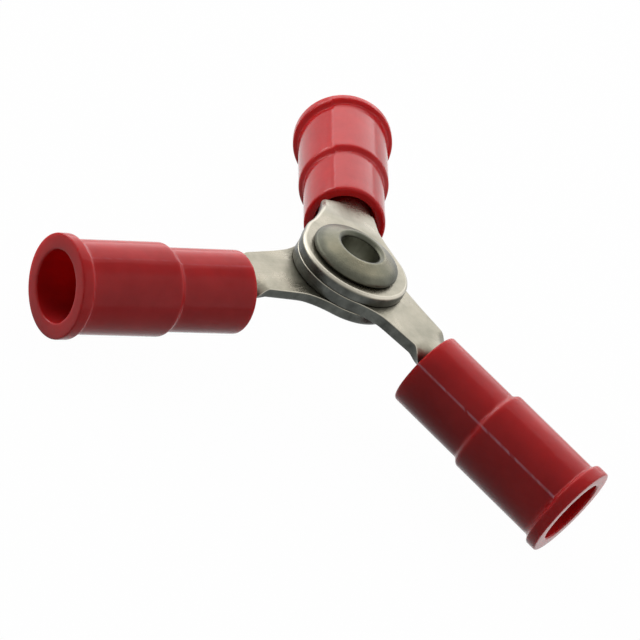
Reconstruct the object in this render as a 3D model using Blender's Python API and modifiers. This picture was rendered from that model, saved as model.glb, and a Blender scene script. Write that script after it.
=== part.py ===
"""Three-way splice connector: three insulated crimp terminals on one rivet.

The rings of three stamped terminals are stacked and held by a tubular rivet.
Each terminal leaves the stack as a tongue that dips, and is rolled into a
barrel for a wire. A stepped nylon sleeve is pushed over each barrel.

Metres, +Z up along the rivet. The origin is on the rivet's axis, level with
the middle barrel where its sleeve begins, and +X follows the bottom arm.
"""
import math

import bmesh
import bpy
from mathutils import Vector

MM = 0.001

# Stamped terminal: ring, tongue and rolled barrel
SHEET = 0.62 * MM
RING_RADIUS = 3.0 * MM
TONGUE_LENGTH = 3.45 * MM
ROOT_HALF_WIDTH = 1.6 * MM
ROOT_FILLET = 4.0 * MM
NECK_HALF_WIDTH = 1.35 * MM
NECK_FILLET = 0.25 * MM
SHOULDER_ROUND = 0.35 * MM
CURL_LENGTH = 1.15 * MM
BARREL_LENGTH = 4.3 * MM
BARREL_MID_RADIUS = 1.15 * MM
BARREL_ROUND = 0.25 * MM
SEAM_GAP = 0.12 * MM
STAMPED_EDGE_ROUND = 0.1 * MM
COINED_EDGE_ROUND = 0.2 * MM

# Dip of each tongue over the edge of the ring below
DIP_ANGLE = math.radians(5.6)
DIP_RADIUS = 4.0 * MM

# Tubular rivet
SHANK_RADIUS = 1.42 * MM
RIVET_WALL = 0.35 * MM
HEAD_OVERHANG = 1.0 * MM
HEAD_HEIGHT = 0.8 * MM
HEAD_LIP_ROUND = 0.18 * MM
HEAD_RIM_HEIGHT = 0.38 * MM
HEAD_RIM_ROUND = 0.14 * MM
HEAD_EDGE_HEIGHT = 0.22 * MM
TAIL_OVERHANG = 0.73 * MM
TAIL_HEIGHT = 0.5 * MM
TAIL_EDGE_HEIGHT = 0.22 * MM
TAIL_FLARE = 0.4 * MM
RIVET_UNDERCUT = 0.12 * MM

# Nylon sleeve, from its inner end over the barrel to the wire mouth
SLEEVE_OVERHANG = 0.32 * MM
INNER_MOUTH_FLARE = 0.17 * MM
INNER_MOUTH_DEPTH = 0.7 * MM
GRIP_WALL = 0.66 * MM
STOP_LIP = 0.29 * MM
STOP_LENGTH = 0.25 * MM
FUNNEL_LENGTH = 0.9 * MM
POCKET_LENGTH = 4.73 * MM
WIRE_BORE_RADIUS = 1.82 * MM
POCKET_WALL = 0.58 * MM
STEP_DISTANCE = 4.33 * MM
STEP_LENGTH = 0.25 * MM
FLANGE_LIP = 0.26 * MM
FLANGE_THICKNESS = 0.8 * MM
FLANGE_SLOPE = 0.14 * MM
SLEEVE_EDGE = 0.09 * MM

# Fits
PLATE_GAP = 0.02 * MM
SHANK_CLEARANCE = 0.03 * MM
GRIP_CLEARANCE = 0.03 * MM
STOP_CLEARANCE = 0.05 * MM

# Faceting
ROUND_STEPS = 48
RING_STEPS = 20
ROLL_STEPS = 12
CURL_STEPS = 6
DIP_STEPS = 2
ARC_STEPS = 3
FILLET_STEPS = 5
ROLL_OVER_STEPS = 6
EDGE_STEPS = 2
SHARP_ANGLE = math.radians(32)
MERGE = 0.00001

# Sizes that follow from the ones above
ARM_NAMES = ("bottom", "middle", "top")
BOTTOM_ARM, _, TOP_ARM = ARM_NAMES
MIDDLE = (len(ARM_NAMES) - 1) / 2
PITCH = SHEET + PLATE_GAP
SEAT = MIDDLE * PITCH + SHEET / 2 + PLATE_GAP
SHOULDER_DISTANCE = RING_RADIUS + TONGUE_LENGTH
CURL_START = SHOULDER_DISTANCE - CURL_LENGTH
BARREL_END = SHOULDER_DISTANCE + BARREL_LENGTH
BARREL_RADIUS = BARREL_MID_RADIUS + SHEET / 2
HALF_GIRTH = math.pi * BARREL_MID_RADIUS - SEAM_GAP / 2
HOLE_RADIUS = SHANK_RADIUS + SHANK_CLEARANCE
RIVET_BORE_RADIUS = SHANK_RADIUS - RIVET_WALL
SLEEVE_DISTANCE = SHOULDER_DISTANCE - SLEEVE_OVERHANG
GRIP_RADIUS = BARREL_RADIUS + GRIP_CLEARANCE
STOP_DISTANCE = BARREL_END - SLEEVE_DISTANCE + STOP_CLEARANCE
POCKET_DISTANCE = STOP_DISTANCE + STOP_LENGTH + FUNNEL_LENGTH
SLEEVE_LENGTH = POCKET_DISTANCE + POCKET_LENGTH


def clear_scene():
    """Remove every object, so that the part starts from nothing."""
    for thing in list(bpy.data.objects):
        bpy.data.objects.remove(thing, do_unlink=True)


def new_collection(name):
    """Add a collection to the scene."""
    group = bpy.data.collections.new(name)
    bpy.context.scene.collection.children.link(group)
    return group


def new_material(name, color, roughness, metallic):
    """Plain material with the finish of one kind of piece."""
    material = bpy.data.materials.new(name)
    material.use_nodes = True
    shader = material.node_tree.nodes["Principled BSDF"]
    shader.inputs["Base Color"].default_value = (*color, 1.0)
    shader.inputs["Roughness"].default_value = roughness
    shader.inputs["Metallic"].default_value = metallic
    return material


def arc(center, radii, start, end, steps):
    """Points of an elliptical arc, from one angle in degrees to another."""
    points = []
    for step in range(steps + 1):
        angle = math.radians(start + (end - start) * step / steps)
        across = center[0] + radii[0] * math.cos(angle)
        up = center[1] + radii[1] * math.sin(angle)
        points.append((across, up))
    return points


def quarter(center, radius, start, turn):
    """Points of a round corner that turns by 90 degrees, left for +1 or right for -1."""
    return arc(center, (radius, radius), start, start + 90 * turn, ARC_STEPS)


def dipped(along, height):
    """Reach and height of a point of the strip, once the strip dips past the stack."""
    turn = min(max((along - RING_RADIUS) / DIP_RADIUS, 0.0), DIP_ANGLE)
    straight = along - RING_RADIUS - turn * DIP_RADIUS
    reach = RING_RADIUS + DIP_RADIUS * math.sin(turn) + straight * math.cos(turn)
    drop = DIP_RADIUS * (1 - math.cos(turn)) + straight * math.sin(turn)
    return reach + height * math.sin(turn), height * math.cos(turn) - drop


def rolled(flat):
    """Place a point of the flat blank on the finished terminal, curled down and dipped."""
    share = min(max((flat.x - CURL_START) / CURL_LENGTH, 0.0), 1.0)
    curl = share * share * (3 - 2 * share) / BARREL_MID_RADIUS
    across, height = flat.y, flat.z
    if curl > 0:
        radius = 1 / curl + flat.z
        height = radius * math.cos(curl * flat.y) - 1 / curl
        across = radius * math.sin(curl * flat.y)
    reach, height = dipped(flat.x, height)
    return Vector((reach, across, height))


def half_blank_outline():
    """Flat outline of half a terminal: ring, tongue, barrel and half of the hole."""
    reach = RING_RADIUS + ROOT_FILLET
    fillet_y = ROOT_HALF_WIDTH + ROOT_FILLET
    fillet_x = math.sqrt(reach * reach - fillet_y * fillet_y)
    root = math.degrees(math.atan2(fillet_y, fillet_x))
    taper = (ROOT_HALF_WIDTH - NECK_HALF_WIDTH) / (SHOULDER_DISTANCE - fillet_x)
    lean = math.degrees(math.atan(taper))
    outline = arc((0, 0), (RING_RADIUS, RING_RADIUS), 180, root, RING_STEPS)
    fillet = (ROOT_FILLET, ROOT_FILLET)
    outline += arc((fillet_x, fillet_y), fillet, root + 180, 270 - lean, FILLET_STEPS)[1:]
    neck = (SHOULDER_DISTANCE - NECK_FILLET, NECK_HALF_WIDTH + NECK_FILLET)
    outline += quarter(neck, NECK_FILLET, -90, 1)
    shoulder = (SHOULDER_DISTANCE + SHOULDER_ROUND, HALF_GIRTH - SHOULDER_ROUND)
    outline += quarter(shoulder, SHOULDER_ROUND, 180, -1)
    corner = (BARREL_END - BARREL_ROUND, HALF_GIRTH - BARREL_ROUND)
    outline += quarter(corner, BARREL_ROUND, 90, -1)
    outline.append((BARREL_END, 0.0))
    outline += arc((0, 0), (HOLE_RADIUS, HOLE_RADIUS), 0, 180, ROUND_STEPS // 2)
    return outline


def cut_across(bm, faces, point, normal):
    """Split some faces along a straight line, as a fold line would."""
    edges = {edge for face in faces for edge in face.edges}
    verts = {vert for face in faces for vert in face.verts}
    bmesh.ops.bisect_plane(
        bm,
        geom=[*faces, *edges, *verts],
        plane_co=point,
        plane_no=normal,
        dist=MERGE,
    )


def round_rim(bm, level, radius):
    """Round the edges between one flat side of the blank and its cut edge."""
    rim = []
    for edge in bm.edges:
        on_side = all(abs(vert.co.z - level) < MERGE for vert in edge.verts)
        if on_side and edge.calc_face_angle(0.0) > SHARP_ANGLE:
            rim.append(edge)
    bmesh.ops.bevel(
        bm,
        geom=rim,
        offset=radius,
        offset_type="OFFSET",
        segments=EDGE_STEPS,
        profile=0.5,
        affect="EDGES",
        clamp_overlap=False,
        material=-1,
    )


def blank_sheet():
    """Flat blank with its hole, at the full thickness of the sheet."""
    bm = bmesh.new()
    bm.faces.new([bm.verts.new((x, y, -SHEET / 2)) for x, y in half_blank_outline()])
    bmesh.ops.mirror(bm, geom=bm.verts[:] + bm.edges[:] + bm.faces[:], axis="Y")
    bmesh.ops.remove_doubles(bm, verts=bm.verts, dist=MERGE)
    raised = bmesh.ops.extrude_face_region(bm, geom=bm.faces[:])["geom"]
    top = [item for item in raised if isinstance(item, bmesh.types.BMVert)]
    bmesh.ops.translate(bm, verts=top, vec=(0, 0, SHEET))
    bmesh.ops.recalc_face_normals(bm, faces=bm.faces)
    return bm


def terminal_mesh(name):
    """One terminal, its edges rounded where the setting dies pressed, bent to shape."""
    bm = blank_sheet()
    round_rim(bm, SHEET / 2, COINED_EDGE_ROUND if name == TOP_ARM else STAMPED_EDGE_ROUND)
    if name == BOTTOM_ARM:
        round_rim(bm, -SHEET / 2, COINED_EDGE_ROUND)
    dip_length = DIP_RADIUS * DIP_ANGLE
    for step in range(DIP_STEPS + 1):
        along = RING_RADIUS + dip_length * step / DIP_STEPS
        cut_across(bm, bm.faces[:], (along, 0, 0), (1, 0, 0))
    for step in range(CURL_STEPS + 1):
        along = CURL_START + CURL_LENGTH * step / CURL_STEPS
        cut_across(bm, bm.faces[:], (along, 0, 0), (1, 0, 0))
    for step in range(1 - ROLL_STEPS, ROLL_STEPS):
        across = HALF_GIRTH * step / ROLL_STEPS
        curled = [f for f in bm.faces if f.calc_center_median().x > CURL_START]
        cut_across(bm, curled, (0, across, 0), (0, 1, 0))
    for vert in bm.verts:
        vert.co = rolled(vert.co)
    mesh = bpy.data.meshes.new(name + "_terminal")
    bm.to_mesh(mesh)
    bm.free()
    return mesh


def add_turning(thing):
    """Turn a profile about its object's Z axis."""
    turning = thing.modifiers.new("Turned", "SCREW")
    turning.axis = "Z"
    turning.steps = ROUND_STEPS
    turning.render_steps = ROUND_STEPS
    turning.use_merge_vertices = True
    turning.merge_threshold = MERGE


def profile_mesh(name, points):
    """Closed loop of edges in the XZ plane, running down its outer side."""
    bm = bmesh.new()
    loop = [bm.verts.new((x, 0.0, z)) for x, z in points]
    for first, second in zip(loop, loop[1:] + loop[:1]):
        bm.edges.new((first, second))
    mesh = bpy.data.meshes.new(name)
    bm.to_mesh(mesh)
    bm.free()
    return mesh


def sleeve_profile():
    """Section of a sleeve, from its wire mouth down the outside and up the bore."""
    edge = SLEEVE_EDGE
    mouth = SLEEVE_LENGTH - edge
    large = WIRE_BORE_RADIUS + POCKET_WALL
    small = GRIP_RADIUS + GRIP_WALL
    flange = large + FLANGE_LIP
    flange_back = SLEEVE_LENGTH - FLANGE_THICKNESS
    points = quarter((WIRE_BORE_RADIUS + edge, mouth), edge, 180, -1)
    points += quarter((flange - edge, mouth), edge, 90, -1)
    points.append((flange, flange_back + FLANGE_SLOPE))
    points.append((large, flange_back))
    points.append((large, STEP_DISTANCE + STEP_LENGTH))
    points.append((small, STEP_DISTANCE))
    points += quarter((small - edge, edge), edge, 0, -1)
    points.append((GRIP_RADIUS + INNER_MOUTH_FLARE, 0.0))
    points.append((GRIP_RADIUS, INNER_MOUTH_DEPTH))
    points.append((GRIP_RADIUS, STOP_DISTANCE))
    points.append((GRIP_RADIUS - STOP_LIP, STOP_DISTANCE))
    points.append((GRIP_RADIUS - STOP_LIP, STOP_DISTANCE + STOP_LENGTH))
    points.append((WIRE_BORE_RADIUS, POCKET_DISTANCE))
    return points


def rivet_profile():
    """Section of the set rivet, from its bore over the head and down to the tail."""
    head = SHANK_RADIUS + HEAD_OVERHANG
    lip = HEAD_LIP_ROUND
    rim_x = head - HEAD_RIM_ROUND
    fall = HEAD_HEIGHT - HEAD_RIM_HEIGHT
    slope = math.degrees(math.atan2(fall, rim_x - RIVET_BORE_RADIUS - lip))
    lip_center = (RIVET_BORE_RADIUS + lip, SEAT + HEAD_HEIGHT - lip)
    points = arc(lip_center, (lip, lip), 180, 90 - slope, ARC_STEPS)
    rim = (HEAD_RIM_ROUND, HEAD_RIM_HEIGHT - HEAD_EDGE_HEIGHT)
    points += arc((rim_x, SEAT + HEAD_EDGE_HEIGHT), rim, 90 - slope, 0, ARC_STEPS)
    points.append((head - RIVET_UNDERCUT, SEAT))
    points.append((SHANK_RADIUS, SEAT))
    points.append((SHANK_RADIUS, -SEAT))
    tail = SHANK_RADIUS + TAIL_OVERHANG
    crest = RIVET_BORE_RADIUS + TAIL_FLARE
    center = (crest, -SEAT - TAIL_EDGE_HEIGHT)
    roll = TAIL_HEIGHT - TAIL_EDGE_HEIGHT
    points.append((tail - RIVET_UNDERCUT, -SEAT))
    points += arc(center, (tail - crest, roll), 0, -90, ROLL_OVER_STEPS)
    points += arc(center, (TAIL_FLARE, roll), -90, -180, ARC_STEPS)[1:]
    return points


def new_object(name, mesh, group, material):
    """Add an object to a collection, with its material."""
    thing = bpy.data.objects.new(name, mesh)
    if not mesh.materials:
        mesh.materials.append(material)
    group.objects.link(thing)
    return thing


def add_arm(name, group, height, turn):
    """Empty at the centre of one ring, turned towards its arm."""
    arm = bpy.data.objects.new(name + "_arm", None)
    arm.location = (0, 0, height)
    arm.rotation_euler = (0, 0, turn)
    group.objects.link(arm)
    return arm


def add_terminal(name, group, arm, material):
    """Stamped and rolled terminal, with its ring centred on the rivet."""
    terminal = new_object(name + "_terminal", terminal_mesh(name), group, material)
    terminal.parent = arm


def add_sleeve(name, mesh, group, arm, material):
    """Nylon sleeve on one barrel, along the barrel's own axis."""
    sleeve = new_object(name + "_sleeve", mesh, group, material)
    reach, height = dipped(SLEEVE_DISTANCE, -BARREL_MID_RADIUS)
    sleeve.parent = arm
    sleeve.location = (reach, 0, height)
    sleeve.rotation_euler = (0, math.pi / 2 + DIP_ANGLE, 0)
    add_turning(sleeve)


def finish(thing):
    """Apply the modifiers and shade round faces smooth between their sharp edges."""
    view = bpy.context.evaluated_depsgraph_get()
    mesh = bpy.data.meshes.new_from_object(thing.evaluated_get(view))
    mesh.name = thing.name
    mesh.shade_smooth()
    mesh.set_sharp_from_angle(angle=SHARP_ANGLE)
    thing.modifiers.clear()
    thing.data = mesh


def main():
    """Build the whole connector."""
    clear_scene()
    parts = new_collection("three_way_splice_connector")
    tinned = new_material("tinned_copper", (0.55, 0.53, 0.47), 0.42, 1.0)
    plated = new_material("plated_rivet", (0.42, 0.40, 0.34), 0.45, 1.0)
    nylon = new_material("red_nylon", (0.36, 0.025, 0.03), 0.35, 0.0)
    stack_height = -dipped(SLEEVE_DISTANCE, -BARREL_MID_RADIUS)[1]
    tube = profile_mesh("sleeve", sleeve_profile())
    for number, name in enumerate(ARM_NAMES):
        height = stack_height + (number - MIDDLE) * PITCH
        turn = 2 * math.pi * number / len(ARM_NAMES)
        arm = add_arm(name, parts, height, turn)
        add_terminal(name, parts, arm, tinned)
        add_sleeve(name, tube, parts, arm, nylon)
    rivet = new_object("rivet", profile_mesh("rivet", rivet_profile()), parts, plated)
    rivet.location = (0, 0, stack_height)
    add_turning(rivet)
    for thing in parts.objects:
        if thing.type == "MESH":
            finish(thing)


main()
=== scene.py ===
"""Looks of a three-way splice connector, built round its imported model.

The terminals, the sleeves and the rivet are modelled again with finer edges and
get their own finishes: dull tin plate, a darker plated rivet and moulded nylon.
Metres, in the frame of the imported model.
"""

import math

import bmesh
import bpy
from mathutils import Matrix, Vector, noise


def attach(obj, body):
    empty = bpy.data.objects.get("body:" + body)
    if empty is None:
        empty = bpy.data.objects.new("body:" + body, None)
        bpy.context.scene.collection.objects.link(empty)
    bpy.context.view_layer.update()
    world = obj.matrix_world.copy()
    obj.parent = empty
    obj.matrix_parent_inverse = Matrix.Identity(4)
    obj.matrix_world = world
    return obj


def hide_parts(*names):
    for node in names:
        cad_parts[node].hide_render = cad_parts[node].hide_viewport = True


MM = 0.001

# Stamped terminal, along its flat blank from the centre of its ring
SHEET = 0.62 * MM
RING_RADIUS = 3.0 * MM
RING_HOLE_RADIUS = 1.45 * MM
ROOT_HALF_WIDTH = 1.6 * MM
ROOT_FILLET = 4.0 * MM
NECK_HALF_WIDTH = 1.35 * MM
NECK_FILLET = 0.25 * MM
SHOULDER_DISTANCE = 6.45 * MM
SHOULDER_ROUND = 0.35 * MM
BARREL_LENGTH = 4.3 * MM
BARREL_ROUND = 0.25 * MM
BARREL_MID_RADIUS = 1.15 * MM
SEAM_GAP = 0.12 * MM
HALF_GIRTH = math.pi * BARREL_MID_RADIUS - SEAM_GAP / 2
CURL_LENGTH = 1.15 * MM
CURL_START = SHOULDER_DISTANCE - CURL_LENGTH
COINED_EDGE_ROUND = 0.2 * MM
BURR_EDGE_ROUND = 0.05 * MM
DIP_ANGLE = math.radians(5.6)
DIP_RADIUS = 4.0 * MM

# The top terminal's neck, which lies a little to one side and curls early
TOP_NECK_SET = 0.4 * MM
TOP_NECK_SET_START = 2.0 * MM
TOP_NECK_SET_GROWTH = 2.2 * MM
TOP_NECK_SET_RETURN = 0.7 * MM
TOP_NECK_FLARE = 0.35 * MM
TOP_NECK_FLARE_DISTANCE = 2.4 * MM
TOP_NECK_FLARE_REACH = 1.9 * MM
TOP_CURL_LEAD = 0.35 * MM

# Where a plate's light is painted: the band of painted highlight on a rounded top edge, as
# shares of that edge's depth, and the turn of the rolled sheet past which its flank gets
# the same painted shade as a cut edge
HIGHLIGHT_BAND_TOP = 0.04
HIGHLIGHT_BAND_FOOT = 0.5
FLANK_ANGLE = math.radians(40)

# Rivet, along X from the middle of its shank, before it is stood upright; its head lies
# a little to one side
SHANK_RADIUS = 1.42 * MM
RIVET_BORE_RADIUS = 1.07 * MM
HEAD_RADIUS = 2.36 * MM
HEAD_HEIGHT = 0.79 * MM
HEAD_LIP_ROUND = 0.24 * MM
HEAD_RIM_HEIGHT = 0.38 * MM
HEAD_RIM_ROUND = 0.14 * MM
HEAD_EDGE_HEIGHT = 0.12 * MM
HEAD_SET = Vector((0.0, 0.024, -0.15)) * MM
TAIL_RADIUS = 2.15 * MM
TAIL_HEIGHT = 0.5 * MM
TAIL_FLARE = 0.4 * MM
TAIL_EDGE_HEIGHT = 0.22 * MM
RIVET_UNDERCUT = 0.08 * MM
# Painted shade on the rivet's head: darker from part way out to its rim, and darker over the
# rolled lip into its bore, never deeper than a set share
DARK_RIM_START = 0.6 * HEAD_RADIUS
DARK_RIM_WIDTH = 0.36 * HEAD_RADIUS
DARK_LIP_END = RIVET_BORE_RADIUS + 1.3 * HEAD_LIP_ROUND
DARK_LIP_WIDTH = 0.5 * HEAD_LIP_ROUND
DEEPEST_PAINTED_SHADE = 0.85

# Sleeve, along its own axis from its inner end
SLEEVE_DISTANCE = 6.13 * MM
SLEEVE_LENGTH = 10.55 * MM
SMALL_RADIUS = 2.15 * MM
LARGE_RADIUS = 2.4 * MM
FLANGE_RADIUS = 2.645 * MM
FLANGE_BACK = 9.75 * MM
FLANGE_SLOPE = 0.14 * MM
STEP_DISTANCE = 4.33 * MM
STEP_LENGTH = 0.25 * MM
GRIP_RADIUS = 1.49 * MM
INNER_MOUTH_RADIUS = 1.66 * MM
INNER_MOUTH_DEPTH = 0.7 * MM
STOP_RADIUS = 1.2 * MM
STOP_DISTANCE = 4.67 * MM
STOP_LENGTH = 0.25 * MM
POCKET_DISTANCE = 5.82 * MM
WIRE_BORE_RADIUS = 1.82 * MM
MOULD_ROUND = 0.1 * MM
FLANGE_END_ROUND = 0.08 * MM
INNER_END_ROUND = 0.14 * MM
INNER_MOUTH_ROUND = 0.06 * MM
STOP_FRONT_ROUND = 0.04 * MM
STOP_BACK_ROUND = 0.05 * MM
POCKET_ROUND = 0.2 * MM

# Parting line: a narrow flat on each side of a thin ragged flash
LAND_ANGLE = math.radians(11)
LAND_RISE = 0.018 * MM
FLASH_HEIGHT = 0.015 * MM
FLASH_SPACING = 0.33 * MM
FLASH_MEAN = 0.7
FLASH_RAGGEDNESS = 1.2
END_MARGIN = 0.3 * MM

# The three arms in the order of their rings, and what their sleeves' moulds left
ARMS = ("bottom", "middle", "top")
PITCH = 0.64 * MM
SEAT = 0.97 * MM
PARTING_ANGLES = {"bottom": 13.0, "middle": -61.4, "top": 41.0}
MOULD_SLIPS = {"bottom": 0.07 * MM, "middle": 0.07 * MM, "top": 0.2 * MM}
# How much flash each sleeve has: it sets the ridge's height and how strong the painted
# highlight along it is
FLASH_SHARES = {"bottom": 0.1, "middle": 1.0, "top": 0.05}
PATTERN_SHIFT = 20 * MM

# Fineness of the meshes
TURNED_STEPS = 160
CORNER_STEPS = 5
RING_SPACING = 0.2 * MM
ARC_STEP = 4.0
DIP_STEPS = 5
CURL_STEPS = 18
ROLL_STEPS = 16
TOP_EDGE_STEPS = 5
UNDER_EDGE_STEPS = 3
RIM_FOLD_ANGLE = 1.0
MERGE = 0.0001 * MM

# Finishes
# Each plate: "light" and "dark" are its tones, clouded at random; "edge" is the painted shade
# colour of cut edges, turned flanks and the rivet's rim and lip; "bright" is the painted
# highlight colour of rounded top edges and of the inside of the rivet's bore
TIN_PLATE = {
    "light": (0.265, 0.242, 0.192, 1),
    "dark": (0.19, 0.18, 0.14, 1),
    "edge": (0.1, 0.105, 0.095, 1),
    "bright": (0.38, 0.355, 0.295, 1),
    "roughness": 0.31,
}
RIVET_PLATE = {
    "light": (0.165, 0.153, 0.108, 1),
    "dark": (0.10, 0.10, 0.073, 1),
    "edge": (0.055, 0.06, 0.048, 1),
    "bright": (0.29, 0.29, 0.235, 1),
    "roughness": 0.34,
}
# How dark the darker clouds of the painted shade are, as a share of its colour
DEEPER_SHADE_SHARE = 0.45
SMOOTHER_PLATE = 0.07
ROUGHER_PLATE = 0.08
GRAIN_WEIGHT = 0.4
SCRATCH_WEIGHT = -0.8
PLATE_RELIEF = 0.35
NYLON_REDS = {"Color A": (0.66, 0.026, 0.028, 1), "Color B": (0.55, 0.019, 0.022, 1)}
# Painted highlight colour along the parting line's flash
FLASH_HIGHLIGHT_RED = (0.8, 0.36, 0.46, 1)
NYLON_GLOW_RADII = (1.0, 0.1, 0.05)
NYLON_GLOW_DEPTH = 1.5 * MM
FLOW_WEIGHT = 0.3
NYLON_RELIEF = 0.12
RELIEF_DEPTH = 0.02 * MM

# Floor, surroundings and soft lights: place in metres, size in metres and power in watts
WHITE = (1, 1, 1, 1)
FLOOR_SEEN = (0.9, 0.9, 0.9, 1)
FLOOR_BOUNCE = (0.15, 0.15, 0.15, 1)
FLOOR_WHITENESS = 0.985
FLOOR_HALF_SIZE = 2.0
FLOOR_GAP = 0.01 * MM
FILL_LIGHT = 0.1
SOFTBOXES = {
    "back": ((-0.105, -0.17, 0.15), 0.36, 0.45),
    "left": ((0.095, -0.175, 0.02), 0.26, 0.48),
    "right": ((-0.16, 0.1, 0.06), 0.4, 0.3),
}

# Camera and its frame, from the photograph
PHOTO_PIXELS = 640
FOCAL_PIXELS = 5770.0
SENSOR_MM = 36.0
NEAR_CLIP = 10 * MM
FAR_CLIP = 10.0
CAMERA_DISTANCE = 290.35 * MM
CAMERA_TARGET = Vector((2.187, 2.194, 0.0)) * MM
CAMERA_AZIMUTH = math.radians(46.025)
CAMERA_ELEVATION = math.radians(28.452)
CAMERA_ROLL = math.radians(31.772)
CAMERA_SHIFT = (0.076 * MM, -0.076 * MM)


def clamped(value):
    """The value, kept between 0 and 1."""
    return min(max(value, 0.0), 1.0)


def eased(value):
    """A smooth rise from 0 to 1 as the value goes from 0 to 1."""
    share = clamped(value)
    return share * share * (3 - 2 * share)


def arc(center, radii, start, end):
    """Points of an elliptical arc, from one angle in degrees to another."""
    steps = max(2, round(abs(end - start) / ARC_STEP))
    points = []
    for step in range(steps + 1):
        angle = math.radians(start + (end - start) * step / steps)
        across = center[0] + radii[0] * math.cos(angle)
        up = center[1] + radii[1] * math.sin(angle)
        points.append((across, up))
    return points


def quarter(center, radius, start, turn):
    """Points of a round corner that turns by 90 degrees, left for +1 or right for -1."""
    return arc(center, (radius, radius), start, start + 90 * turn)


def dipped(along, height):
    """Reach and height of a point of the strip, once the strip dips past the stack."""
    turn = min(max((along - RING_RADIUS) / DIP_RADIUS, 0.0), DIP_ANGLE)
    straight = along - RING_RADIUS - turn * DIP_RADIUS
    reach = RING_RADIUS + DIP_RADIUS * math.sin(turn) + straight * math.cos(turn)
    drop = DIP_RADIUS * (1 - math.cos(turn)) + straight * math.sin(turn)
    return reach + height * math.sin(turn), height * math.cos(turn) - drop


SLEEVE_REACH, SLEEVE_HEIGHT = dipped(SLEEVE_DISTANCE, -BARREL_MID_RADIUS)
STACK_HEIGHT = -SLEEVE_HEIGHT


def curl_at(along):
    """Curvature of the strip where it rolls up from flat to barrel."""
    return eased((along - SHOULDER_DISTANCE) / CURL_LENGTH + 1) / BARREL_MID_RADIUS


def rolled(flat, lead):
    """Place a point of the flat blank on the finished terminal, curled and dipped."""
    curl = curl_at(flat.x + lead)
    across, height = flat.y, flat.z
    if curl > 0:
        radius = 1 / curl + flat.z
        height = radius * math.cos(curl * flat.y) - 1 / curl
        across = radius * math.sin(curl * flat.y)
    reach, height = dipped(flat.x, height)
    return Vector((reach, across, height))


def neck_set(along, across):
    """How far the top terminal's neck lies to one side, between its ring and barrel."""
    away = eased((along - TOP_NECK_SET_START) / TOP_NECK_SET_GROWTH)
    back = eased((SHOULDER_DISTANCE + SHOULDER_ROUND - along) / TOP_NECK_SET_RETURN)
    near = eased(1 - abs(along - TOP_NECK_FLARE_DISTANCE) / TOP_NECK_FLARE_REACH)
    edge = clamped(across / ROOT_HALF_WIDTH)
    return TOP_NECK_SET * away * back + TOP_NECK_FLARE * near * edge


def arm_place(name):
    """Where an arm's ring lies in the stack, and which way the arm points."""
    number = ARMS.index(name)
    height = STACK_HEIGHT + (number - 1) * PITCH
    turn = 2 * math.pi * number / len(ARMS)
    return Matrix.Translation((0, 0, height)) @ Matrix.Rotation(turn, 4, "Z")


def pattern_shift(name):
    """How far an arm's pieces take their pattern from, so that no two are alike."""
    return PATTERN_SHIFT * (1 + ARMS.index(name))


def turned(section):
    """Turn a closed section of (distance along X, radius, corner radius) about X."""
    bm = bmesh.new()
    verts = [bm.verts.new((along, radius, 0.0)) for along, radius, _ in section]
    for first, second in zip(verts, verts[1:] + verts[:1]):
        bm.edges.new((first, second))
    for vert, (_, _, corner_radius) in zip(verts, section):
        if corner_radius > 0:
            bmesh.ops.bevel(
                bm,
                geom=[vert],
                offset=corner_radius,
                offset_type="OFFSET",
                segments=CORNER_STEPS,
                profile=0.5,
                affect="VERTICES",
                material=-1,
            )
    for edge in [e for e in bm.edges if e.calc_length() > 2 * RING_SPACING]:
        cuts = int(edge.calc_length() / RING_SPACING)
        bmesh.ops.subdivide_edges(bm, edges=[edge], cuts=cuts)
    bmesh.ops.spin(
        bm,
        geom=bm.verts[:] + bm.edges[:],
        cent=(0, 0, 0),
        axis=(1, 0, 0),
        angle=2 * math.pi,
        steps=TURNED_STEPS,
        use_merge=True,
    )
    bmesh.ops.remove_doubles(bm, verts=bm.verts, dist=MERGE)
    bmesh.ops.recalc_face_normals(bm, faces=bm.faces)
    return bm


def sleeve_section():
    """Section of a sleeve, from its wire mouth down the outside and up the bore."""
    return [
        (SLEEVE_LENGTH, WIRE_BORE_RADIUS, MOULD_ROUND),
        (SLEEVE_LENGTH, FLANGE_RADIUS, FLANGE_END_ROUND),
        (FLANGE_BACK + FLANGE_SLOPE, FLANGE_RADIUS, MOULD_ROUND),
        (FLANGE_BACK, LARGE_RADIUS, MOULD_ROUND),
        (STEP_DISTANCE + STEP_LENGTH, LARGE_RADIUS, MOULD_ROUND),
        (STEP_DISTANCE, SMALL_RADIUS, MOULD_ROUND),
        (0.0, SMALL_RADIUS, INNER_END_ROUND),
        (0.0, INNER_MOUTH_RADIUS, INNER_MOUTH_ROUND),
        (INNER_MOUTH_DEPTH, GRIP_RADIUS, MOULD_ROUND),
        (STOP_DISTANCE, GRIP_RADIUS, 0.0),
        (STOP_DISTANCE, STOP_RADIUS, STOP_FRONT_ROUND),
        (STOP_DISTANCE + STOP_LENGTH, STOP_RADIUS, STOP_BACK_ROUND),
        (POCKET_DISTANCE, WIRE_BORE_RADIUS, POCKET_ROUND),
    ]


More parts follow.
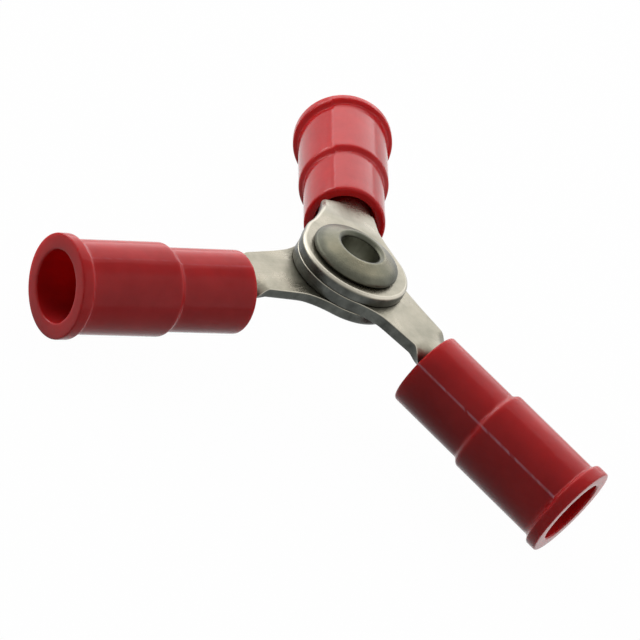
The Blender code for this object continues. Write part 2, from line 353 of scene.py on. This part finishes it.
def rivet_section():
    """Section of the set rivet, from its bore over the head and down to the tail."""
    lip = HEAD_LIP_ROUND
    rim_x = HEAD_RADIUS - HEAD_RIM_ROUND
    fall = HEAD_HEIGHT - HEAD_RIM_HEIGHT
    slope = math.degrees(math.atan2(fall, rim_x - RIVET_BORE_RADIUS - lip))
    center = (RIVET_BORE_RADIUS + lip, SEAT + HEAD_HEIGHT - lip)
    points = arc(center, (lip, lip), 180, 90 - slope)
    rim = (HEAD_RIM_ROUND, HEAD_RIM_HEIGHT - HEAD_EDGE_HEIGHT)
    points += arc((rim_x, SEAT + HEAD_EDGE_HEIGHT), rim, 90 - slope, 0)
    points.append((HEAD_RADIUS - RIVET_UNDERCUT, SEAT))
    points.append((SHANK_RADIUS, SEAT))
    points.append((SHANK_RADIUS, -SEAT))
    points.append((TAIL_RADIUS - RIVET_UNDERCUT, -SEAT))
    crest = RIVET_BORE_RADIUS + TAIL_FLARE
    center = (crest, -SEAT - TAIL_EDGE_HEIGHT)
    roll = TAIL_HEIGHT - TAIL_EDGE_HEIGHT
    points += arc(center, (TAIL_RADIUS - crest, roll), 0, -90)
    points += arc(center, (TAIL_FLARE, roll), -90, -180)[1:]
    return [(height, radius, 0.0) for radius, height in points]


def half_blank_outline():
    """Flat outline of half a terminal, with half of its ring's hole."""
    reach = RING_RADIUS + ROOT_FILLET
    fillet_y = ROOT_HALF_WIDTH + ROOT_FILLET
    fillet_x = math.sqrt(reach * reach - fillet_y * fillet_y)
    root = math.degrees(math.atan2(fillet_y, fillet_x))
    taper = (ROOT_HALF_WIDTH - NECK_HALF_WIDTH) / (SHOULDER_DISTANCE - fillet_x)
    lean = math.degrees(math.atan(taper))
    barrel_end = SHOULDER_DISTANCE + BARREL_LENGTH
    outline = arc((0, 0), (RING_RADIUS, RING_RADIUS), 180, root)
    fillet = (ROOT_FILLET, ROOT_FILLET)
    outline += arc((fillet_x, fillet_y), fillet, root + 180, 270 - lean)[1:]
    neck = (SHOULDER_DISTANCE - NECK_FILLET, NECK_HALF_WIDTH + NECK_FILLET)
    outline += quarter(neck, NECK_FILLET, -90, 1)
    shoulder = (SHOULDER_DISTANCE + SHOULDER_ROUND, HALF_GIRTH - SHOULDER_ROUND)
    outline += quarter(shoulder, SHOULDER_ROUND, 180, -1)
    corner = (barrel_end - BARREL_ROUND, HALF_GIRTH - BARREL_ROUND)
    outline += quarter(corner, BARREL_ROUND, 90, -1)
    outline.append((barrel_end, 0.0))
    outline += arc((0, 0), (RING_HOLE_RADIUS, RING_HOLE_RADIUS), 0, 180)
    return outline


def cut_across(bm, faces, point, normal):
    """Split some faces along a straight line, so that they can bend there."""
    edges = {edge for face in faces for edge in face.edges}
    verts = {vert for face in faces for vert in face.verts}
    bmesh.ops.bisect_plane(
        bm,
        geom=[*faces, *edges, *verts],
        plane_co=point,
        plane_no=normal,
        dist=MERGE,
    )


def bend_lines():
    """Distances along the blank at which it dips or starts to curl."""
    dip = DIP_RADIUS * DIP_ANGLE
    lines = [RING_RADIUS + dip * step / DIP_STEPS for step in range(DIP_STEPS + 1)]
    lines += [CURL_START + CURL_LENGTH * step / CURL_STEPS for step in range(CURL_STEPS + 1)]
    return lines


def round_rim(bm, height, radius, segments):
    """Round the edge between one flat side of the blank and its cut edge."""
    rim = []
    for edge in bm.edges:
        level = all(abs(vert.co.z - height) < MERGE for vert in edge.verts)
        if level and edge.calc_face_angle(0.0) > RIM_FOLD_ANGLE:
            rim.append(edge)
    bmesh.ops.bevel(
        bm,
        geom=rim,
        offset=radius,
        offset_type="OFFSET",
        segments=segments,
        profile=0.5,
        affect="EDGES",
        clamp_overlap=False,
        material=-1,
    )


def terminal_blank(top_round, under_round):
    """Flat blank of a terminal with rounded edges, ready to be bent."""
    bm = bmesh.new()
    bm.faces.new([bm.verts.new((x, y, -SHEET / 2)) for x, y in half_blank_outline()])
    bmesh.ops.mirror(bm, geom=bm.verts[:] + bm.edges[:] + bm.faces[:], axis="Y")
    bmesh.ops.remove_doubles(bm, verts=bm.verts, dist=MERGE)
    raised = bmesh.ops.extrude_face_region(bm, geom=bm.faces[:])["geom"]
    top = [item for item in raised if isinstance(item, bmesh.types.BMVert)]
    bmesh.ops.translate(bm, verts=top, vec=(0, 0, SHEET))
    bmesh.ops.recalc_face_normals(bm, faces=bm.faces)
    round_rim(bm, SHEET / 2, top_round, TOP_EDGE_STEPS)
    round_rim(bm, -SHEET / 2, under_round, UNDER_EDGE_STEPS)
    for along in bend_lines():
        cut_across(bm, bm.faces[:], (along, 0, 0), (1, 0, 0))
    for step in range(1 - ROLL_STEPS, ROLL_STEPS):
        curled = [f for f in bm.faces if f.calc_center_median().x > CURL_START]
        cut_across(bm, curled, (0, HALF_GIRTH * step / ROLL_STEPS, 0), (0, 1, 0))
    return bm


def finished(name, bm, place, material, nodes):
    """Make a piece of a mesh that is put in its place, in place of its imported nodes."""
    bm.transform(place)
    mesh = bpy.data.meshes.new(name)
    bm.to_mesh(mesh)
    bm.free()
    mesh.shade_smooth()
    mesh.materials.append(material)
    piece = bpy.data.objects.new(name, mesh)
    bpy.context.scene.collection.objects.link(piece)
    smoothing = piece.modifiers.new("Flat faces stay flat", "WEIGHTED_NORMAL")
    smoothing.keep_sharp = True
    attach(piece, "root")
    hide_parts(*nodes)
    return piece


def make_terminal(name, material):
    """One stamped terminal, bent from its flat blank and set on its arm."""
    top_round = COINED_EDGE_ROUND if name == "top" else BURR_EDGE_ROUND
    under_round = COINED_EDGE_ROUND if name == "bottom" else BURR_EDGE_ROUND
    curl_lead = TOP_CURL_LEAD if name == "top" else 0.0
    bm = terminal_blank(top_round, under_round)
    # Masks of painted light: painted shade on the cut edges, the lower part of a rounded top
    # edge and the turned flanks of the roll, and a band of painted highlight up on that edge
    strip = bm.verts.layers.float_vector.new("strip")
    painted_shade = bm.verts.layers.float.new("painted_shade")
    painted_highlight = bm.verts.layers.float.new("painted_highlight")
    shift = Vector((0, 0, pattern_shift(name)))
    for vert in bm.verts:
        depth = (SHEET / 2 - vert.co.z) / top_round
        underside = vert.co.z < MERGE - SHEET / 2
        flank = min(curl_at(vert.co.x) * abs(vert.co.y) / FLANK_ANGLE, 1.0)
        vert[strip] = vert.co + shift
        vert[painted_highlight] = float(HIGHLIGHT_BAND_TOP < depth < HIGHLIGHT_BAND_FOOT)
        vert[painted_shade] = max(0.0 if underside else min(depth, 1.0), flank)
        if name == "top":
            vert.co.y += neck_set(vert.co.x, vert.co.y)
        vert.co = rolled(vert.co, curl_lead)
    node = name + "_terminal"
    return finished("tin_plated_" + node, bm, arm_place(name), material, [node])


def make_sleeve(name, material):
    """One moulded sleeve, with its mould's parting line, on its arm's barrel."""
    bm = turned(sleeve_section())
    moulding = bm.verts.layers.float_vector.new("moulding")
    flash = bm.verts.layers.float.new("flash")
    shift = pattern_shift(name)
    for vert in bm.verts:
        vert[moulding] = vert.co + Vector((shift, 0, 0))
        radius = math.hypot(vert.co.y, vert.co.z)
        if radius < SMALL_RADIUS - END_MARGIN:
            continue
        if vert.co.z > MERGE:
            to_flange_end = (SLEEVE_LENGTH - vert.co.x) / (SLEEVE_LENGTH - FLANGE_BACK)
            slipped = min(vert.co.x / END_MARGIN, to_flange_end, 1.0)
            vert.co.x += MOULD_SLIPS[name] * slipped
        if vert.co.x > FLANGE_BACK:
            continue
        angle = math.asin(min(abs(vert.co.z) / radius, 1.0))
        rise = LAND_RISE * max(1 - angle / LAND_ANGLE, 0.0)
        if angle < MERGE:
            wave = noise.noise(Vector((vert.co.x / FLASH_SPACING, shift / MM, 0)))
            ragged = clamped(FLASH_MEAN + FLASH_RAGGEDNESS * wave)
            vert[flash] = ragged * FLASH_SHARES[name]
            rise += FLASH_HEIGHT * vert[flash]
        out = Vector((0, vert.co.y, vert.co.z)) / radius
        vert.co += out * (rise - LAND_RISE - FLASH_HEIGHT)
    place = arm_place(name) @ Matrix.Translation((SLEEVE_REACH, 0, SLEEVE_HEIGHT))
    place @= Matrix.Rotation(DIP_ANGLE, 4, "Y")
    place @= Matrix.Rotation(math.radians(90 - PARTING_ANGLES[name]), 4, "X")
    node = name + "_sleeve"
    return finished("moulded_" + node, bm, place, material, [node])


def make_rivet(material):
    """The rivet, with its head set a little to one side and its rolled tail."""
    bm = turned(rivet_section())
    strip = bm.verts.layers.float_vector.new("strip")
    painted_shade = bm.verts.layers.float.new("painted_shade")
    painted_highlight = bm.verts.layers.float.new("painted_highlight")
    # Masks of painted light: painted shade towards the head's rim and over its lip, and the
    # painted highlight colour all over the inside of the bore
    for vert in bm.verts:
        radius = math.hypot(vert.co.y, vert.co.z)
        rim = (radius - DARK_RIM_START) / DARK_RIM_WIDTH
        lip = (DARK_LIP_END - radius) / DARK_LIP_WIDTH
        in_bore = radius < RIVET_BORE_RADIUS + MERGE
        vert[strip] = vert.co
        vert[painted_shade] = 0.0 if in_bore else min(max(rim, lip, 0.0), DEEPEST_PAINTED_SHADE)
        vert[painted_highlight] = float(in_bore)
        if radius < SHANK_RADIUS - MERGE:
            vert.co += HEAD_SET * clamped((vert.co.x / SEAT + 1) / 2)
        elif radius > SHANK_RADIUS + MERGE and vert.co.x > 0:
            vert.co += HEAD_SET
    place = Matrix.Translation((0, 0, STACK_HEIGHT)) @ Matrix.Rotation(-math.pi / 2, 4, "Y")
    return finished("set_rivet", bm, place, material, ["rivet"])


def new_group(name, inputs, outputs):
    """Start a shader node group with named inputs and outputs."""
    group = bpy.data.node_groups.new(name, "ShaderNodeTree")
    for label, kind, value in inputs:
        socket = group.interface.new_socket(label, in_out="INPUT", socket_type=kind)
        if value is not None:
            socket.default_value = value
    for label, kind in outputs:
        group.interface.new_socket(label, in_out="OUTPUT", socket_type=kind)
    start = group.nodes.new("NodeGroupInput")
    end = group.nodes.new("NodeGroupOutput")
    return group, start, end


def add_node(tree, kind, values=None, **settings):
    """Add a shader node, with its settings and the values of its free inputs."""
    made = tree.nodes.new("ShaderNode" + kind)
    for name, value in settings.items():
        setattr(made, name, value)
    for name, value in (values or {}).items():
        made.inputs[name].default_value = value
    return made


def clouds_group():
    """Two colours in soft clouds, as on plate and moulded plastic."""
    group, start, end = new_group(
        "clouds",
        [
            ("Vector", "NodeSocketVector", None),
            ("Scale", "NodeSocketFloat", 900.0),
            ("Color A", "NodeSocketColor", (1, 1, 1, 1)),
            ("Color B", "NodeSocketColor", (0, 0, 0, 1)),
        ],
        [("Color", "NodeSocketColor"), ("Value", "NodeSocketFloat")],
    )
    cloud = add_node(group, "TexNoise", {"Detail": 5.0, "Roughness": 0.6})
    spread = add_node(group, "MapRange", {"From Min": 0.32, "From Max": 0.68})
    mix = add_node(group, "Mix", data_type="RGBA")
    link = group.links.new
    link(start.outputs["Vector"], cloud.inputs["Vector"])
    link(start.outputs["Scale"], cloud.inputs["Scale"])
    link(cloud.outputs["Fac"], spread.inputs["Value"])
    link(spread.outputs["Result"], mix.inputs["Factor"])
    link(start.outputs["Color A"], mix.inputs["A"])
    link(start.outputs["Color B"], mix.inputs["B"])
    link(mix.outputs["Result"], end.inputs["Color"])
    link(spread.outputs["Result"], end.inputs["Value"])
    return group


def hairlines_group():
    """Thin broken lines that run along X of their vector, as from rolling and handling."""
    group, start, end = new_group(
        "hairlines",
        [
            ("Vector", "NodeSocketVector", None),
            ("Fineness", "NodeSocketFloat", 9000.0),
            ("Stretch", "NodeSocketFloat", 0.04),
            ("Share", "NodeSocketFloat", 0.62),
        ],
        [("Value", "NodeSocketFloat")],
    )
    stretch = add_node(group, "CombineXYZ", {"Y": 1.0, "Z": 1.0})
    scale = add_node(group, "VectorMath", operation="MULTIPLY")
    streaks = add_node(group, "TexNoise", {"Detail": 3.0, "Roughness": 0.7})
    limit = add_node(group, "Math", {1: 0.08}, operation="ADD")
    spread = add_node(group, "MapRange")
    link = group.links.new
    link(start.outputs["Stretch"], stretch.inputs["X"])
    link(start.outputs["Vector"], scale.inputs[0])
    link(stretch.outputs["Vector"], scale.inputs[1])
    link(scale.outputs["Vector"], streaks.inputs["Vector"])
    link(start.outputs["Fineness"], streaks.inputs["Scale"])
    link(start.outputs["Share"], limit.inputs[0])
    link(streaks.outputs["Fac"], spread.inputs["Value"])
    link(start.outputs["Share"], spread.inputs["From Min"])
    link(limit.outputs["Value"], spread.inputs["From Max"])
    link(spread.outputs["Result"], end.inputs["Value"])
    return group


def new_material(name, metallic, specular, relief_strength):
    """A material with its shader, and a relief that feeds the shader's normal."""
    material = bpy.data.materials.new(name)
    material.use_nodes = True
    tree = material.node_tree
    shader = tree.nodes["Principled BSDF"]
    shader.inputs["Metallic"].default_value = metallic
    shader.inputs["Specular IOR Level"].default_value = specular
    relief = add_node(tree, "Bump", {"Strength": relief_strength, "Distance": RELIEF_DEPTH})
    tree.links.new(relief.outputs["Normal"], shader.inputs["Normal"])
    return material, tree, shader, relief


def use_group(tree, group, values):
    """Place a shared effect in a material, with the material's own values."""
    made = tree.nodes.new("ShaderNodeGroup")
    made.node_tree = group
    for name, value in values.items():
        made.inputs[name].default_value = value
    return made


def blend_values(tree, first, second, weight):
    """First value plus the second one times its weight."""
    made = add_node(tree, "Math", {1: weight}, operation="MULTIPLY_ADD")
    tree.links.new(second, made.inputs[0])
    tree.links.new(first, made.inputs[2])
    return made.outputs["Value"]


def plate_material(name, finish, clouds, hairlines):
    """Dull plate: clouded colour, rolling lines, scratches, a painted highlight and painted
    shade.
    """
    material, tree, shader, relief = new_material(name, 1.0, 0.5, PLATE_RELIEF)
    link = tree.links.new
    place = add_node(tree, "Attribute", attribute_name="strip")
    # The shade mask mixes in the clouded painted shade colour, and the highlight mask the
    # painted highlight colour
    cut = add_node(tree, "Attribute", attribute_name="painted_shade")
    rim = add_node(tree, "Attribute", attribute_name="painted_highlight")
    with_painted_highlight = add_node(tree, "Mix", {"B": finish["bright"]}, data_type="RGBA")
    face_colors = {"Color A": finish["light"], "Color B": finish["dark"]}
    color = use_group(tree, clouds, {"Scale": 700.0, **face_colors})
    deeper_shade = tuple(DEEPER_SHADE_SHARE * share for share in finish["edge"][:3]) + (1,)
    painted_shade_colors = {"Color A": finish["edge"], "Color B": deeper_shade}
    painted_shade_color = use_group(tree, clouds, {"Scale": 1300.0, **painted_shade_colors})
    grain = use_group(tree, hairlines, {"Fineness": 14000.0, "Stretch": 0.05, "Share": 0.5})
    scratches = use_group(tree, hairlines, {"Fineness": 4000.0, "Stretch": 0.03, "Share": 0.64})
    speckle = add_node(tree, "TexNoise", {"Scale": 6000.0, "Detail": 3.0})
    side = add_node(tree, "MapRange", {"From Min": 0.55, "From Max": 1.0})
    with_painted_shade = add_node(tree, "Mix", data_type="RGBA")
    smoothest = finish["roughness"] - SMOOTHER_PLATE
    roughest = finish["roughness"] + ROUGHER_PLATE
    rough = add_node(tree, "MapRange", {"To Min": smoothest, "To Max": roughest})
    for group in (color, painted_shade_color, grain, scratches):
        link(place.outputs["Vector"], group.inputs["Vector"])
    link(place.outputs["Vector"], speckle.inputs["Vector"])
    link(cut.outputs["Fac"], side.inputs["Value"])
    link(side.outputs["Result"], with_painted_shade.inputs["Factor"])
    link(rim.outputs["Fac"], with_painted_highlight.inputs["Factor"])
    link(color.outputs["Color"], with_painted_highlight.inputs["A"])
    link(with_painted_highlight.outputs["Result"], with_painted_shade.inputs["A"])
    link(painted_shade_color.outputs["Color"], with_painted_shade.inputs["B"])
    link(with_painted_shade.outputs["Result"], shader.inputs["Base Color"])
    link(color.outputs["Value"], rough.inputs["Value"])
    link(rough.outputs["Result"], shader.inputs["Roughness"])
    height = blend_values(tree, speckle.outputs["Fac"], grain.outputs["Value"], GRAIN_WEIGHT)
    height = blend_values(tree, height, scratches.outputs["Value"], SCRATCH_WEIGHT)
    link(height, relief.inputs["Height"])
    return material


def nylon_material(clouds, hairlines):
    """Moulded red nylon: satin skin, faint flow lines and a painted highlight on the flash."""
    material, tree, shader, relief = new_material("moulded_red_nylon", 0.0, 0.1, NYLON_RELIEF)
    link = tree.links.new
    shader.inputs["Subsurface Weight"].default_value = 0.55
    shader.inputs["Subsurface Radius"].default_value = NYLON_GLOW_RADII
    shader.inputs["Subsurface Scale"].default_value = NYLON_GLOW_DEPTH
    place = add_node(tree, "Attribute", attribute_name="moulding")
    ridge = add_node(tree, "Attribute", attribute_name="flash")
    color = use_group(tree, clouds, {"Scale": 500.0, **NYLON_REDS})
    flow = use_group(tree, hairlines, {"Fineness": 5000.0, "Stretch": 0.08, "Share": 0.5})
    peel = add_node(tree, "TexNoise", {"Scale": 5000.0, "Detail": 3.0})
    # Painted highlight along the parting line's flash, as strong as its flash share
    flash_highlight = add_node(tree, "Mix", {"B": FLASH_HIGHLIGHT_RED}, data_type="RGBA")
    rough = add_node(tree, "MapRange", {"To Min": 0.08, "To Max": 0.15})
    for group in (color, flow):
        link(place.outputs["Vector"], group.inputs["Vector"])
    link(place.outputs["Vector"], peel.inputs["Vector"])
    link(ridge.outputs["Fac"], flash_highlight.inputs["Factor"])
    link(color.outputs["Color"], flash_highlight.inputs["A"])
    link(flash_highlight.outputs["Result"], shader.inputs["Base Color"])
    link(color.outputs["Value"], rough.inputs["Value"])
    link(rough.outputs["Result"], shader.inputs["Roughness"])
    height = blend_values(tree, peel.outputs["Fac"], flow.outputs["Value"], FLOW_WEIGHT)
    link(height, relief.inputs["Height"])
    return material


def seen_as_background(tree):
    """One for a ray from the camera or from a glossy or clear surface, or else 0."""
    path = add_node(tree, "LightPath")
    glossy = add_node(tree, "Math", operation="MAXIMUM")
    clear = add_node(tree, "Math", operation="MAXIMUM")
    tree.links.new(path.outputs["Is Camera Ray"], glossy.inputs[0])
    tree.links.new(path.outputs["Is Glossy Ray"], glossy.inputs[1])
    tree.links.new(glossy.outputs["Value"], clear.inputs[0])
    tree.links.new(path.outputs["Is Transmission Ray"], clear.inputs[1])
    return clear.outputs["Value"]


def floor_material():
    """Pale floor that looks white, keeps a shadow and throws little light back."""
    material = bpy.data.materials.new("pale_floor")
    material.use_nodes = True
    tree = material.node_tree
    link = tree.links.new
    shader = tree.nodes["Principled BSDF"]
    shader.inputs["Roughness"].default_value = 0.9
    shader.inputs["Specular IOR Level"].default_value = 0.0
    paint = add_node(tree, "Mix", {"A": FLOOR_BOUNCE, "B": FLOOR_SEEN}, data_type="RGBA")
    seen = seen_as_background(tree)
    glow = add_node(tree, "Emission", {"Strength": 1.0})
    share = add_node(tree, "Math", {1: FLOOR_WHITENESS}, operation="MULTIPLY")
    mix = add_node(tree, "MixShader")
    link(seen, paint.inputs["Factor"])
    link(paint.outputs["Result"], shader.inputs["Base Color"])
    link(seen, share.inputs[0])
    link(share.outputs["Value"], mix.inputs["Fac"])
    link(shader.outputs["BSDF"], mix.inputs[1])
    link(glow.outputs["Emission"], mix.inputs[2])
    link(mix.outputs["Shader"], tree.nodes["Material Output"].inputs["Surface"])
    return material


def make_floor(frame):
    """Pale floor through the lowest point of each sleeve, which the part stands on."""
    feet = []
    for name in ARMS:
        mesh = frame["nodes"][name + "_sleeve"].data
        feet.append(min((vert.co for vert in mesh.vertices), key=lambda point: point.z))
    normal = (feet[1] - feet[0]).cross(feet[2] - feet[0]).normalized()
    if normal.z < 0:
        normal.negate()
    bm = bmesh.new()
    bmesh.ops.create_grid(bm, x_segments=1, y_segments=1, size=FLOOR_HALF_SIZE)
    center = sum(feet, Vector()) / len(feet)
    turn = normal.to_track_quat("Z", "Y").to_matrix().to_4x4()
    bm.transform(Matrix.Translation(center - normal * FLOOR_GAP) @ turn)
    mesh = bpy.data.meshes.new("floor")
    bm.to_mesh(mesh)
    bm.free()
    mesh.materials.append(floor_material())
    floor = bpy.data.objects.new("floor", mesh)
    bpy.context.scene.collection.objects.link(floor)


def make_world():
    """White surroundings to the eye, and a dimmer even light on the part."""
    world = bpy.data.worlds.new("studio")
    world.use_nodes = True
    bpy.context.scene.world = world
    tree = world.node_tree
    seen = tree.nodes["Background"]
    seen.inputs["Color"].default_value = WHITE
    seen.inputs["Strength"].default_value = 1.0
    fill = add_node(tree, "Background", {"Color": WHITE, "Strength": FILL_LIGHT})
    mix = add_node(tree, "MixShader")
    tree.links.new(seen_as_background(tree), mix.inputs["Fac"])
    tree.links.new(fill.outputs["Background"], mix.inputs[1])
    tree.links.new(seen.outputs["Background"], mix.inputs[2])
    tree.links.new(mix.outputs["Shader"], tree.nodes["World Output"].inputs["Surface"])


def make_softbox(name, place, size, power):
    """A round soft light that is turned towards the part."""
    lamp = bpy.data.lights.new(name, "AREA")
    lamp.shape = "DISK"
    lamp.size = size
    lamp.energy = power
    softbox = bpy.data.objects.new(name, lamp)
    bpy.context.scene.collection.objects.link(softbox)
    softbox.location = place
    softbox.rotation_euler = Vector(place).to_track_quat("Z", "Y").to_euler()


def make_camera():
    """Camera at the photograph's place, tilt and framing."""
    flat = math.cos(CAMERA_ELEVATION)
    back = Vector((
        flat * math.cos(CAMERA_AZIMUTH),
        flat * math.sin(CAMERA_AZIMUTH),
        math.sin(CAMERA_ELEVATION),
    ))
    level = Vector((0, 0, 1)).cross(back).normalized()
    upright = back.cross(level)
    up = upright * math.cos(CAMERA_ROLL) - level * math.sin(CAMERA_ROLL)
    right = up.cross(back)
    place = Matrix((right, up, back)).transposed().to_4x4()
    place.translation = CAMERA_TARGET + back * CAMERA_DISTANCE
    place.translation += right * CAMERA_SHIFT[0] + up * CAMERA_SHIFT[1]
    lens = bpy.data.cameras.new("camera")
    lens.sensor_width = SENSOR_MM
    lens.lens = FOCAL_PIXELS / PHOTO_PIXELS * SENSOR_MM
    lens.clip_start = NEAR_CLIP
    lens.clip_end = FAR_CLIP
    camera = bpy.data.objects.new("camera", lens)
    camera.matrix_world = place
    bpy.context.scene.collection.objects.link(camera)
    bpy.context.scene.camera = camera


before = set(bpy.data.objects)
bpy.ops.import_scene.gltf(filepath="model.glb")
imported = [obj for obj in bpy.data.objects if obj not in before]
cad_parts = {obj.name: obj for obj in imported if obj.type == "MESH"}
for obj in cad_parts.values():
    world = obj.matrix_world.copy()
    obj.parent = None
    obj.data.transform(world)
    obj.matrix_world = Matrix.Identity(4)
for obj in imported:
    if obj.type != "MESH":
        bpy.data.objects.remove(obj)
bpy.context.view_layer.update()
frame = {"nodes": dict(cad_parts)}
clouds = clouds_group()
hairlines = hairlines_group()
tin = plate_material("dull_tin_plate", TIN_PLATE, clouds, hairlines)
rivet_plate = plate_material("rivet_plate", RIVET_PLATE, clouds, hairlines)
nylon = nylon_material(clouds, hairlines)
for arm in ARMS:
    make_terminal(arm, tin)
    make_sleeve(arm, nylon)
make_rivet(rivet_plate)
make_floor(frame)
make_world()
for softbox_name, (softbox_place, softbox_size, softbox_power) in SOFTBOXES.items():
    make_softbox(softbox_name, softbox_place, softbox_size, softbox_power)
make_camera()
bpy.context.scene.view_settings.view_transform = "Standard"
